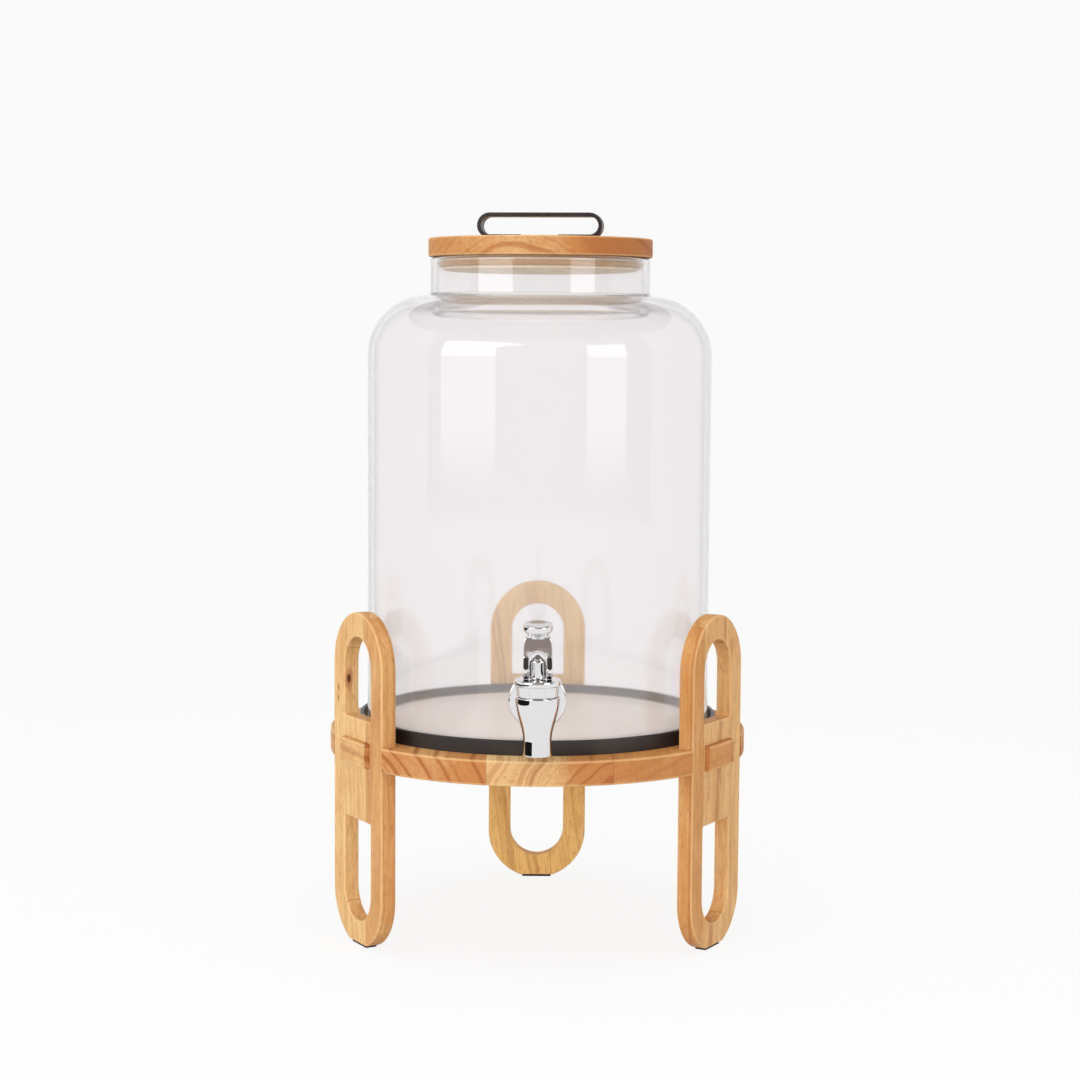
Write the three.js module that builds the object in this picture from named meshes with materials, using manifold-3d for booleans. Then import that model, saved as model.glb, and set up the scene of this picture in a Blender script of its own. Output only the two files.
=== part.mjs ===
// A glass drink dispenser: a shouldered jar with a lever tap low on its wall, which stands on a round wooden
// board with three slotted wooden legs, under a wooden lid with a strap handle.
// Millimetres, +Z up, the tap towards -Y. The origin is on the table, under the middle of the whole outline.

import * as THREE from "three";
import { mergeVertices } from "three/addons/utils/BufferGeometryUtils.js";
import Module from "manifold-3d";

const wasm = await Module();
wasm.setup();

// Gaps and cuts
const seatGap = 0.3; // between two pieces that rest on each other or fit together
const pinGap = 0.15; // round the lever's pin
const overrun = 4; // how far a cut runs past the faces that it opens

// Smoothness: sides of a full turn, and steps of an arc
const bigSides = 48;
const tapSides = 24;
const rodSides = 16;
const arcSteps = 8;
const shortArcSteps = 3;

// Stand
const boardTop = 119; // above the table
const boardThickness = 14;
const boardEase = 1.2; // chamfer round the board's edges
const legWidth = 62;
const legThickness = 9.4;
const legTop = 192;
const legEase = 0.8;
const slotWidth = 34;
const panelBottom = 73; // the solid middle of a leg, between its two slots
const panelTop = 131.5;
const footFlat = 20.8; // width of the flat under a leg
const footRim = 13.2; // wood below the lower slot
const tongueWidth = 32; // the board's tongue through a leg
const legRoom = 4.1; // from the ring to a leg's inner face
const padThickness = 1;
const padInset = 1.2; // from the edges of the foot to its pad

// Retaining ring round the bottom of the jar
const ringRoom = 2.1; // from the jar to the ring
const ringThickness = 2.2;
const ringRise = 8.3; // above the board
const ringGroove = 2; // into the board

// Jar
const jarRadius = 100.7;
const jarHeight = 274.6;
const jarWall = 3.6;
const jarBase = 8; // thickness of the bottom
const jarHollow = 1.5; // how far the underside rises in its middle
const jarFooting = 9; // width of the ring that the jar stands on
const heelRadius = 5;
const floorRadius = 3; // where the inside wall meets the inside floor
const neckRadius = 64.2;
const neckWall = 3.7;
const neckHeight = 22;
const neckFillet = 1.5;
const lipRadius = 2; // the thick edge that hangs inside, at the root of the neck
const lipDrop = 3.4;

// Tap body, with its shank through the jar
const shankRadius = 8;
const channelRadius = 4.3;
const flangeRadius = 16;
const flangeThickness = 3;
const tapRoom = 6.7; // from the ring up to the flange
const tapNeck = 11.2; // from the flange to the barrel
const tapNeckRadius = 5.8;
const barrelRadius = 12;
const barrelRise = 6; // from the shank's axis up to the bonnet
const chamberRadius = 8;
const collarThread = 9.9; // radius of the threaded top of the body
const collarThreadHeight = 5.4;
const spoutClearance = 5; // from the board up to the tip of the spout
const spoutRadius = 8;
const spoutWaist = 7.7; // the narrowest radius of the spout
const spoutTip = 8; // from the tip up to the waist
const spoutBore = 5.5;
const spoutEase = 0.8;
const seatDrop = 5.7; // from the shank's axis down to the valve seat
const shankEnd = 1.5; // what stands out of the nut

// What holds the tap in the jar
const washerThickness = 2.5;
const outerWasherRadius = 15;
const innerWasherRadius = 14;
const nutRadius = 14.5; // across the nut's corners
const nutThickness = 7;

// Bonnet
const bonnetRadius = 11.4;
const bonnetRimRadius = 12.8;
const bonnetRimHeight = 3.5;
const bonnetTopHeight = 3.7; // thickness of the bonnet's top, which the spring bears on
const bonnetHeight = 9.2;
const bonnetEase = 0.6;

// Valve: stem, seat cup and spring
const stemRadius = 2.6;
const stemHeadRadius = 4.4;
const stemHeadDome = 3.5;
const stemHeadTop = 7.2; // above the pin
const cupRadius = 7.3;
const cupTopRadius = 6.7;
const cupHeight = 7.4;
const cupEase = 0.8;
const cupFloor = 2.5; // silicone below the stem
const wireRadius = 0.45;
const springRadius = 5.3; // to the middle of the wire
const springTurns = 4.5;
const wireSides = 6;
const springSteps = 12; // in one turn

// Lever on the stem's head, upright when the tap is shut
const leverSwing = (75 * Math.PI) / 180;
const stemLift = 3; // at the end of the swing
const heelDrop = 6; // from the pin down to the heel
const leverWidth = 16;
const leverDepth = 9;
const leverTopDepth = 8;
const leverShoulder = 12.2; // above the pin
const leverNeckWidth = 12.2;
const leverTop = 17.2;
const forkGap = 9.4;
const forkTop = 8.7; // underside of the fork's arch, above the pin
const pinRadius = 1.25;
const padTurn = (-8 * Math.PI) / 180; // the thumb pad dips towards the front
const thumbRadius = 8.2;
const thumbNeck = 5.2;
const thumbStart = 16.4; // above the pin
const thumbFlare = 4.2;
const thumbEdge = 2.6;
const thumbRim = 1.5; // round the shallow dish in the pad's top
const thumbRimRise = 0.7;
const thumbDish = 1.2; // depth of that dish

// Lid
const lidOverhang = 1.2; // past the jar's neck
const lidThickness = 10.7;
const lidEase = 0.9;
const lidTurn = (-6 * Math.PI) / 180; // how the lid happens to lie
const plugRoom = 3.5; // from the plug to the inside of the neck
const plugHeight = 7;
const sealHeight = 3.2;
const sealRise = 1.4; // from the plug's underside up to the seal
const sealDepth = 1.6; // of the groove in the plug
const sealLip = 0.8;

// Handle: a flat strap bent into a long loop
const handleLength = 73;
const handleHeight = 14.8;
const handleWidth = 16;
const strapThickness = 2.2;
const feetGap = 22; // between the strap's two feet
const screwRadius = 2;
const screwHeadRadius = 3.9;
const screwHeadHeight = 2.6;

// Places that follow from the sizes
const legBottom = padThickness + seatGap;
const ringInner = jarRadius + ringRoom;
const ringOuter = ringInner + ringThickness;
const legInner = ringOuter + legRoom; // from the jar's axis
const legOuter = legInner + legThickness;
const boardRadius = Math.hypot(legOuter, legWidth / 2); // the edge meets the legs' outer corners
const jarBottom = boardTop + seatGap;
const jarInner = jarRadius - jarWall;
const neckInner = neckRadius - neckWall;
const flangeBack = jarRadius + washerThickness + 2 * seatGap;
const tapAxis = flangeBack + flangeThickness + tapNeck + barrelRadius;
const tapHeight = boardTop + ringRise + tapRoom + flangeRadius;
const nutFace = jarInner - washerThickness - 2 * seatGap;
const tipDrop = tapHeight - boardTop - spoutClearance; // from the shank's axis to the spout's tip
const bonnetBottom = barrelRise + seatGap;
const bonnetTop = bonnetBottom + bonnetHeight;
const springSeat = bonnetTop - bonnetTopHeight;
const cupBottom = seatGap - seatDrop;
const stemBottom = cupBottom + cupFloor + seatGap;
const pinHeight = bonnetTop + seatGap + heelDrop;
const lidBottom = jarBottom + jarHeight + seatGap;
const lidRadius = neckRadius + lidOverhang;
const plugRadius = neckInner - plugRoom;
const plugBottom = -seatGap - plugHeight; // below the lid
const handleBottom = lidThickness + seatGap;
const handleEnd = handleHeight / 2; // radius of the loop's round ends
const screwPlace = (feetGap / 2 + handleLength / 2 - handleEnd) / 2; // from the middle of the lid
const frontReach = tapAxis + bonnetRimRadius;

// Finishes
const finish = (color, roughness, metalness = 0) =>
  new THREE.MeshStandardMaterial({ color, roughness, metalness });
const oiledWood = () => finish(0xd09a5c, 0.6);
const blackSteel = () => finish(0x37322f, 0.45, 0.6);
const chrome = () => finish(0xd8d8da, 0.12, 1);
const steel = () => finish(0xb9bbbd, 0.35, 1);
const silicone = () => finish(0xe6e2dc, 0.55);
const blackRubber = () => finish(0x2a2725, 0.8);
const clearGlass = () =>
  new THREE.MeshStandardMaterial({
    color: 0xeaf0ee,
    roughness: 0.05,
    transparent: true,
    opacity: 0.35,
  });

const point = (x, y) => new THREE.Vector2(x, y);

// Points on an arc round (x, y), from one angle to another in degrees.
function arc(x, y, radius, from, to, steps = arcSteps) {
  return Array.from({ length: steps + 1 }, (_, i) => {
    const angle = ((from + ((to - from) * i) / steps) * Math.PI) / 180;
    return point(x + radius * Math.cos(angle), y + radius * Math.sin(angle));
  });
}

// A profile of (radius, height) points turned about +Z.
function turned(profile, sides) {
  return new THREE.LatheGeometry(profile, sides).rotateX(Math.PI / 2);
}

function uprightRod(radius, bottom, top, sides) {
  return new THREE.CylinderGeometry(radius, radius, top - bottom, sides)
    .rotateX(Math.PI / 2)
    .translate(0, 0, (top + bottom) / 2);
}

// A rod along -Y, between two distances from the origin.
function frontRod(radius, near, far, sides) {
  return new THREE.CylinderGeometry(radius, radius, far - near, sides)
    .translate(0, -(near + far) / 2, 0);
}

function crossRod(radius, length, sides) {
  return new THREE.CylinderGeometry(radius, radius, length, sides).rotateZ(Math.PI / 2);
}

function block(xs, ys, zs) {
  const middle = ([low, high]) => (low + high) / 2;
  return new THREE.BoxGeometry(xs[1] - xs[0], ys[1] - ys[0], zs[1] - zs[0])
    .translate(middle(xs), middle(ys), middle(zs));
}

// A geometry as a solid that can be cut and joined.
function solid(geometry) {
  const bare = geometry.clone();
  bare.deleteAttribute("normal");
  bare.deleteAttribute("uv");
  const merged = mergeVertices(bare);
  return new wasm.Manifold(
    new wasm.Mesh({
      numProp: 3,
      vertProperties: merged.attributes.position.array,
      triVerts: new Uint32Array(merged.index.array),
    }),
  );
}

function geometryOf(body) {
  const made = body.getMesh();
  const geometry = new THREE.BufferGeometry();
  geometry.setAttribute("position", new THREE.BufferAttribute(made.vertProperties, made.numProp));
  geometry.setIndex(new THREE.BufferAttribute(made.triVerts, 1));
  geometry.computeVertexNormals();
  return geometry;
}

function cut(body, ...tools) {
  return tools.reduce((left, tool) => left.subtract(solid(tool)), body);
}

function piece(name, shape, material) {
  const geometry = shape.isBufferGeometry ? shape : geometryOf(shape);
  const mesh = new THREE.Mesh(geometry, material);
  mesh.name = name;
  return mesh;
}

// Stand

function slotOutline(flatHeight, roundCentre) {
  const half = slotWidth / 2;
  const upwards = roundCentre > flatHeight;
  const outline = new THREE.Path();
  outline.moveTo(-half, flatHeight);
  outline.lineTo(half, flatHeight);
  outline.absarc(0, roundCentre, half, 0, upwards ? Math.PI : -Math.PI, !upwards);
  outline.closePath();
  return outline;
}

// A leg's face, drawn across the leg and up from the table.
function legOutline() {
  const half = legWidth / 2;
  const footAngle = Math.asin(footFlat / 2 / half);
  const footCentre = legBottom + half * Math.cos(footAngle);
  const outline = new THREE.Shape();
  outline.absarc(0, footCentre, half, footAngle - Math.PI / 2, 0);
  outline.absarc(0, legTop - half, half, 0, Math.PI);
  outline.absarc(0, footCentre, half, Math.PI, 1.5 * Math.PI - footAngle);
  outline.closePath();
  outline.holes.push(
    slotOutline(panelTop, legTop - half),
    slotOutline(panelBottom, legBottom + footRim + slotWidth / 2),
  );
  return outline;
}

// A leg that faces -Y, with the mortise for the board's tongue.
function makeLeg(name) {
  const plate = new THREE.ExtrudeGeometry(legOutline(), {
    depth: legThickness - 2 * legEase,
    bevelThickness: legEase,
    bevelSize: legEase,
    bevelOffset: -legEase,
    bevelSegments: 1,
    curveSegments: arcSteps,
  })
    .rotateX(Math.PI / 2)
    .translate(0, -legInner - legEase, 0);
  const mortise = block(
    [-tongueWidth / 2 - seatGap, tongueWidth / 2 + seatGap],
    [-legOuter - overrun, overrun - legInner],
    [boardTop - boardThickness - seatGap, boardTop + seatGap],
  );
  return piece(name, cut(solid(plate), mortise), oiledWood());
}

function makeFootPad(name) {
  const half = footFlat / 2 - padInset;
  const pad = block([-half, half], [padInset - legOuter, -legInner - padInset], [0, padThickness]);
  return piece(name, pad, blackRubber());
}

function makeBoard(legTurns) {
  const top = boardTop;
  const bottom = boardTop - boardThickness;
  const profile = [
    point(0, bottom),
    point(boardRadius - boardEase, bottom),
    point(boardRadius, bottom + boardEase),
    point(boardRadius, top - boardEase),
    point(boardRadius - boardEase, top),
    point(ringOuter + seatGap, top),
    point(ringOuter + seatGap, top - ringGroove),
    point(ringInner - seatGap, top - ringGroove),
    point(ringInner - seatGap, top),
    point(0, top),
  ];
  // The two notches beside each tongue, where the leg's cheeks stand.
  const notches = legTurns.flatMap((turn) =>
    [-1, 1].map((side) => {
      const edges = [side * (tongueWidth / 2), side * (legWidth / 2 + seatGap)].sort((a, b) => a - b);
      return block(
        edges,
        [-boardRadius - overrun, seatGap - legInner],
        [bottom - overrun, top + overrun],
      ).rotateZ(turn);
    }),
  );
  return piece("stand_board", cut(solid(turned(profile, bigSides)), ...notches), oiledWood());
}

function makeRetainingRing() {
  const bottom = boardTop - ringGroove + seatGap;
  const top = boardTop + ringRise;
  const ease = ringThickness / 4;
  const profile = [
    point(ringInner, bottom),
    point(ringOuter, bottom),
    point(ringOuter, top - ease),
    point(ringOuter - ease, top),
    point(ringInner + ease, top),
    point(ringInner, top - ease),
    point(ringInner, bottom),
  ];
  return piece("retaining_ring", turned(profile, bigSides), blackSteel());
}

function makeStand() {
  const stand = new THREE.Group();
  const places = ["front_left", "front_right", "back"];
  const legTurns = places.map((_, i) => ((i * 2 - 1) * Math.PI) / places.length);
  places.forEach((place, i) => {
    const corner = new THREE.Group();
    corner.add(makeLeg("leg_" + place), makeFootPad("foot_pad_" + place));
    corner.rotation.z = legTurns[i];
    stand.add(corner);
  });
  stand.add(makeBoard(legTurns), makeRetainingRing());
  return stand;
}

// Jar

function jarProfile() {
  const rim = neckWall / 2;
  const shoulderTop = jarHeight - neckHeight;
  const shoulderRadius = jarRadius - neckRadius - neckFillet;
  const shoulderStart = shoulderTop - shoulderRadius;
  const ceiling = shoulderTop - jarWall;
  const filletEdge = neckRadius + neckFillet;
  return [
    point(0, jarHollow),
    point(jarRadius - heelRadius - jarFooting, 0),
    ...arc(jarRadius - heelRadius, heelRadius, heelRadius, -90, 0, shortArcSteps),
    ...arc(filletEdge, shoulderStart, shoulderRadius, 0, 90),
    ...arc(filletEdge, shoulderTop + neckFillet, neckFillet, 270, 180, shortArcSteps).slice(1),
    ...arc(neckRadius - rim, jarHeight - rim, rim, 0, 180, shortArcSteps + 1),
    point(neckInner, shoulderTop),
    ...arc(neckInner + lipRadius / 2, ceiling - lipDrop, lipRadius, 180, 360, shortArcSteps),
    point(filletEdge, ceiling),
    ...arc(filletEdge, shoulderStart, shoulderRadius - jarWall, 90, 0).slice(1),
    ...arc(jarInner - floorRadius, jarBase + floorRadius, floorRadius, 0, -90, shortArcSteps),
    point(0, jarBase),
  ];
}

function makeJar() {
  const tapHole = frontRod(shankRadius + seatGap, jarInner - overrun, jarRadius + overrun, tapSides)
    .translate(0, 0, tapHeight - jarBottom);
  const jar = piece("glass_jar", cut(solid(turned(jarProfile(), bigSides)), tapHole), clearGlass());
  jar.position.z = jarBottom;
  return jar;
}

// Tap, drawn round the meeting of its two axes: the shank's and the valve's

// The outside of the barrel and the spout, from the tip up to the bonnet's thread.
function barrelProfile() {
  const waist = spoutTip - tipDrop;
  const shoulder = barrelRise / 2;
  const flare = Array.from({ length: arcSteps + 1 }, (_, i) => {
    const share = i / arcSteps;
    const swell = share * share * (3 - 2 * share);
    return point(spoutWaist + (barrelRadius - spoutWaist) * swell, waist + (shoulder - waist) * share);
  });
  return [
    point(0, -tipDrop),
    point(spoutRadius - spoutEase, -tipDrop),
    point(spoutRadius, spoutEase - tipDrop),
    ...flare,
    point(barrelRadius, barrelRise),
    point(collarThread, barrelRise),
    point(collarThread, barrelRise + collarThreadHeight),
    point(0, barrelRise + collarThreadHeight),
  ];
}

function makeTapBody() {
  const near = (distance) => distance - tapAxis; // from the jar's axis to the valve's
  const shankBack = near(nutFace - nutThickness - shankEnd);
  const flangeFront = near(flangeBack + flangeThickness);
  const flangeMiddle = near(flangeBack + flangeThickness / 2);
  const outside = solid(turned(barrelProfile(), tapSides))
    .add(solid(frontRod(tapNeckRadius, flangeMiddle, 0, tapSides)))
    .add(solid(frontRod(flangeRadius, near(flangeBack), flangeFront, tapSides)))
    .add(solid(frontRod(shankRadius, shankBack, flangeMiddle, tapSides)));
  const chamber = turned([
    point(0, -tipDrop - overrun),
    point(spoutBore, -tipDrop - overrun),
    point(spoutBore, -seatDrop),
    point(chamberRadius, -seatDrop),
    point(chamberRadius, barrelRise + collarThreadHeight + overrun),
    point(0, barrelRise + collarThreadHeight + overrun),
  ], tapSides);
  const channel = frontRod(channelRadius, shankBack - overrun, 0, tapSides);
  return piece("tap_body", cut(outside, chamber, channel), chrome());
}

function makeBonnet() {
  const profile = [
    point(collarThread + seatGap, bonnetBottom),
    point(bonnetRadius, bonnetBottom),
    point(bonnetRadius, bonnetTop - bonnetRimHeight),
    point(bonnetRimRadius, bonnetTop - bonnetRimHeight + bonnetEase),
    point(bonnetRimRadius, bonnetTop - bonnetEase),
    point(bonnetRimRadius - bonnetEase, bonnetTop),
    point(stemRadius + seatGap, bonnetTop),
    point(stemRadius + seatGap, springSeat),
    point(collarThread + seatGap, springSeat),
    point(collarThread + seatGap, bonnetBottom),
  ];
  return piece("tap_bonnet", turned(profile, tapSides), chrome());
}

function makeStem() {
  const headBottom = bonnetTop + seatGap;
  const headTop = pinHeight + stemHeadTop;
  const dome = arc(0, 0, 1, 0, 90, shortArcSteps).map(({ x, y }) =>
    point(stemHeadRadius * x, headTop - stemHeadDome + stemHeadDome * y));
  const profile = [
    point(0, stemBottom),
    point(stemRadius, stemBottom),
    point(stemRadius, headBottom),
    point(stemHeadRadius, headBottom),
    ...dome.slice(0, -1),
    point(0, headTop),
  ];
  const pinHole = crossRod(pinRadius + pinGap, leverWidth, rodSides).translate(0, 0, pinHeight);
  return piece("tap_stem", cut(solid(turned(profile, tapSides)), pinHole), chrome());
}

function makeSeatCup() {
  const top = cupBottom + cupHeight;
  const pocket = stemRadius + seatGap;
  const profile = [
    point(0, cupBottom),
    point(cupRadius - cupEase, cupBottom),
    point(cupRadius, cupBottom + cupEase),
    point(cupRadius, cupBottom + cupHeight / 2),
    point(cupTopRadius, top),
    point(pocket, top),
    point(pocket, cupBottom + cupFloor),
    point(0, cupBottom + cupFloor),
  ];
  return piece("seat_cup", turned(profile, tapSides), silicone());
}

class SpringPath extends THREE.Curve {
  constructor(bottom, top) {
    super();
    this.bottom = bottom;
    this.top = top;
  }
  getPoint(share, target = new THREE.Vector3()) {
    const angle = 2 * Math.PI * springTurns * share;
    return target.set(
      springRadius * Math.cos(angle),
      springRadius * Math.sin(angle),
      this.bottom + (this.top - this.bottom) * share,
    );
  }
}

function makeSpring() {
  const inset = seatGap + wireRadius;
  const path = new SpringPath(cupBottom + cupHeight + inset, springSeat - inset);
  const wire = new THREE.Shape(
    Array.from({ length: wireSides }, (_, i) => {
      const angle = (2 * Math.PI * i) / wireSides;
      return point(wireRadius * Math.cos(angle), wireRadius * Math.sin(angle));
    }),
  );
  const coil = new THREE.ExtrudeGeometry(wire, {
    steps: springSteps * springTurns,
    extrudePath: path,
  });
  return piece("valve_spring", coil, steel());
}

// Lever, drawn round its pin

// The heel's outline is an involute, so that the stem rises in step with the lever's angle.
function heelPoint(angle) {
  const rate = stemLift / leverSwing;
  const reach = heelDrop + rate * angle;
  return point(
    -reach * Math.sin(angle) - rate * Math.cos(angle),
    -reach * Math.cos(angle) + rate * Math.sin(angle),
  );
}

function makeLever() {
  const side = new THREE.Shape([
    point(leverDepth / 2, -heelDrop),
    ...Array.from({ length: arcSteps + 1 }, (_, i) => heelPoint((leverSwing * i) / arcSteps)),
    point(-leverDepth / 2, heelDrop),
    point(-leverTopDepth / 2, leverTop),
    point(leverTopDepth / 2, leverTop),
    point(leverDepth / 2, heelDrop),
  ].reverse());
  const front = new THREE.Shape([
    point(-leverWidth / 2, -heelDrop - overrun),
    point(leverWidth / 2, -heelDrop - overrun),
    point(leverWidth / 2, leverShoulder),
    point(leverNeckWidth / 2, leverTop),
    point(-leverNeckWidth / 2, leverTop),
    point(-leverWidth / 2, leverShoulder),
  ]);
  const gap = forkGap / 2;
  const fork = new THREE.Shape([
    point(-gap, -heelDrop - 2 * overrun),
    point(gap, -heelDrop - 2 * overrun),
    ...arc(0, forkTop - gap, gap, 0, 180),
  ]);
  const reach = leverDepth + heelDrop + stemLift; // in front of the pin and behind it
  const flat = { bevelEnabled: false };
  const sideSlab = new THREE.ExtrudeGeometry(side, { ...flat, depth: leverWidth })
    .rotateX(Math.PI / 2)
    .rotateZ(Math.PI / 2)
    .translate(-leverWidth / 2, 0, 0);
  const throughFront = (shape) =>
    new THREE.ExtrudeGeometry(shape, { ...flat, depth: 2 * reach })
      .rotateX(Math.PI / 2)
      .translate(0, reach, 0);
  const padTop = thumbFlare + thumbEdge + thumbRimRise;
  const dishRadius = thumbRadius - thumbRim;
  const thumbPad = turned([
    point(0, 0),
    point(thumbNeck, 0),
    point(thumbRadius, thumbFlare),
    point(thumbRadius, thumbFlare + thumbEdge),
    point(thumbRadius - thumbRimRise, padTop),
    point(dishRadius, padTop),
    point((2 * dishRadius) / 3, padTop - thumbDish / 2),
    point(dishRadius / 3, padTop - thumbDish),
    point(0, padTop - thumbDish),
  ], tapSides)
    .rotateX(-padTurn)
    .translate(0, 0, thumbStart);
  const arm = solid(sideSlab).intersect(solid(throughFront(front)));
  const pinHole = crossRod(pinRadius + pinGap, leverWidth + overrun, rodSides);
  const body = cut(arm, throughFront(fork), pinHole).add(solid(thumbPad));
  return piece("tap_lever", body, chrome());
}

function makeTap() {
  const tap = new THREE.Group();
  const lever = makeLever();
  const pin = piece("lever_pin", crossRod(pinRadius, leverWidth, rodSides), steel());
  lever.position.z = pinHeight;
  pin.position.z = pinHeight;
  tap.add(makeTapBody(), makeBonnet(), makeStem(), makeSeatCup(), makeSpring(), pin, lever);
  tap.position.set(0, -tapAxis, tapHeight);
  return tap;
}

// The washers and the nut that clamp the tap to the jar's wall, drawn round the jar's axis.
function makeTapFixings() {
  const fixings = new THREE.Group();
  const hole = frontRod(shankRadius + seatGap, 0, tapAxis, tapSides);
  const around = (radius) => uprightRod(radius, -flangeRadius, flangeRadius, bigSides);
  const outer = cut(
    solid(frontRod(outerWasherRadius, jarInner, flangeBack - seatGap, tapSides)),
    around(jarRadius + seatGap),
    hole,
  );
  const inner = cut(
    solid(frontRod(innerWasherRadius, nutFace + seatGap, jarRadius, tapSides))
      .intersect(solid(around(jarInner - seatGap))),
    hole,
  );
  const nutSides = 6;
  const nut = cut(solid(frontRod(nutRadius, nutFace - nutThickness, nutFace, nutSides)), hole);
  fixings.add(
    piece("outer_washer", outer, silicone()),
    piece("inner_washer", inner, silicone()),
    piece("tap_nut", nut, steel()),
  );
  fixings.position.z = tapHeight;
  return fixings;
}

// Lid, drawn from the underside of its top board

const screwSides = [
  ["left", -1],
  ["right", 1],
];

function screwHoles(radius, bottom, top) {
  return screwSides.map(([, side]) =>
    uprightRod(radius, bottom, top, rodSides).translate(side * screwPlace, 0, 0));
}

function makeLidTop() {
  const profile = [
    point(0, 0),
    point(lidRadius - lidEase, 0),
    point(lidRadius, lidEase),
    point(lidRadius, lidThickness - lidEase),
    point(lidRadius - lidEase, lidThickness),
    point(0, lidThickness),
  ];
  const holes = screwHoles(screwRadius + seatGap, -overrun, lidThickness + overrun);
  return piece("lid_top", cut(solid(turned(profile, bigSides)), ...holes), oiledWood());
}

function makeLidPlug() {
  const top = -seatGap;
  const groove = plugRadius - sealDepth;
  const profile = [
    point(0, plugBottom),
    point(plugRadius, plugBottom),
    point(plugRadius, plugBottom + sealRise),
    point(groove, plugBottom + sealRise),
    point(groove, plugBottom + sealRise + sealHeight),
    point(plugRadius, plugBottom + sealRise + sealHeight),
    point(plugRadius, top),
    point(0, top),
  ];
  const holes = screwHoles(screwRadius + seatGap, plugBottom - overrun, overrun);
  const recesses = screwHoles(
    screwHeadRadius + seatGap,
    plugBottom - overrun,
    plugBottom + screwHeadHeight + seatGap,
  );
  return piece("lid_plug", cut(solid(turned(profile, bigSides)), ...holes, ...recesses), oiledWood());
}

function makeLidSeal() {
  const bottom = plugBottom + sealRise + seatGap;
  const top = plugBottom + sealRise + sealHeight - seatGap;
  const inside = plugRadius - sealDepth + seatGap;
  const outside = neckInner - seatGap;
  const profile = [
    point(inside, bottom),
    point(outside - sealLip, bottom),
    point(outside, (bottom + top) / 2),
    point(outside - sealLip, top),
    point(inside, top),
    point(inside, bottom),
  ];
  return piece("lid_seal", turned(profile, bigSides), silicone());
}

function makeHandle() {
  const straight = handleLength / 2 - handleEnd;
  const foot = feetGap / 2;
  const inner = handleEnd - strapThickness;
  const strap = new THREE.Shape([
    point(foot, 0),
    ...arc(straight, handleEnd, handleEnd, -90, 90),
    ...arc(-straight, handleEnd, handleEnd, 90, 270),
    point(-foot, 0),
    point(-foot, strapThickness),
    ...arc(-straight, handleEnd, inner, 270, 90),
    ...arc(straight, handleEnd, inner, 90, -90),
    point(foot, strapThickness),
  ]);
  const loop = new THREE.ExtrudeGeometry(strap, { depth: handleWidth, bevelEnabled: false })
    .rotateX(Math.PI / 2)
    .translate(0, handleWidth / 2, 0);
  const holes = screwHoles(screwRadius + seatGap, -overrun, strapThickness + seatGap);
  const handle = piece("lid_handle", cut(solid(loop), ...holes), blackSteel());
  handle.position.z = handleBottom;
  return handle;
}

function makeHandleScrews() {
  const headTop = plugBottom + screwHeadHeight;
  const profile = [
    point(0, plugBottom),
    point(screwHeadRadius, plugBottom),
    point(screwHeadRadius, headTop),
    point(screwRadius, headTop),
    point(screwRadius, handleBottom + strapThickness),
    point(0, handleBottom + strapThickness),
  ];
  return screwSides.map(([name, side]) => {
    const screw = piece("handle_screw_" + name, turned(profile, rodSides), steel());
    screw.position.x = side * screwPlace;
    return screw;
  });
}

function makeLid() {
  const lid = new THREE.Group();
  lid.add(makeLidTop(), makeLidPlug(), makeLidSeal(), makeHandle(), ...makeHandleScrews());
  lid.position.z = lidBottom;
  lid.rotation.z = lidTurn;
  return lid;
}

const dispenser = new THREE.Group();
dispenser.add(makeStand(), makeJar(), makeTap(), makeTapFixings(), makeLid());
dispenser.position.y = (frontReach - boardRadius) / 2;

export default new THREE.Group().add(dispenser);
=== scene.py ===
from math import asin, cos, degrees, exp, hypot, pi, radians, sin, tan

import bmesh
import bpy
from mathutils import Matrix, Vector, noise


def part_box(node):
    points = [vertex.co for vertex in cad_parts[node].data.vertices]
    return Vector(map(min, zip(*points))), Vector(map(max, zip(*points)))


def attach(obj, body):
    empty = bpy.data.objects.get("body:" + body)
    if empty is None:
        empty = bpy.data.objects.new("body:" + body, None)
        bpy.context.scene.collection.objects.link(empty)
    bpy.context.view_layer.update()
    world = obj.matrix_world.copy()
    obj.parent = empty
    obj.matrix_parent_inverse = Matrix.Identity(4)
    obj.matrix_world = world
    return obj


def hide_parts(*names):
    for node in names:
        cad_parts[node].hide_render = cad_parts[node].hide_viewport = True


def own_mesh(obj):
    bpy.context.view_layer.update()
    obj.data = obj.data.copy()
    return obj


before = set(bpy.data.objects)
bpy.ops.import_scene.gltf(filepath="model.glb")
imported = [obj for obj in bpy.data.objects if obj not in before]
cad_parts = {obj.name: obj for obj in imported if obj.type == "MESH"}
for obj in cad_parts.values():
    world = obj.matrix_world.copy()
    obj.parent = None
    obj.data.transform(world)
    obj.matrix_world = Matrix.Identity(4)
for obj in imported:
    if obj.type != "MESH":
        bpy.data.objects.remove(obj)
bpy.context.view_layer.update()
print("frame loaded:", len(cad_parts), "nodes")

mm = 0.001


class Values(dict):  # a dictionary whose entries can also be read as v.name
    __getattr__ = dict.__getitem__


def inMetres(lengths, **others):  # lengths are written in millimetres, and ease stays in them
    made = {name: tuple(p * mm for p in v) if isinstance(v, tuple) else v * mm for name, v in lengths.items()}
    return Values(made, **others)


at = Matrix.Translation


def turnBy(angle, axis="Z"):
    return Matrix.Rotation(radians(angle), 4, axis)


def addObject(name, data, place=Matrix()):
    made = bpy.data.objects.new(name, data)
    bpy.context.scene.collection.objects.link(made)
    made.matrix_world = place
    return made


# Camera, as the photograph was taken

camera = Values({
    "place": (0, -1.3557, 0.3548),
    "dip": 5.28,  # degrees below the horizon
    "roll": 0.39, "yaw": -0.034,
    "lens": 77.42, "sensor": 36,
})


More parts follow.
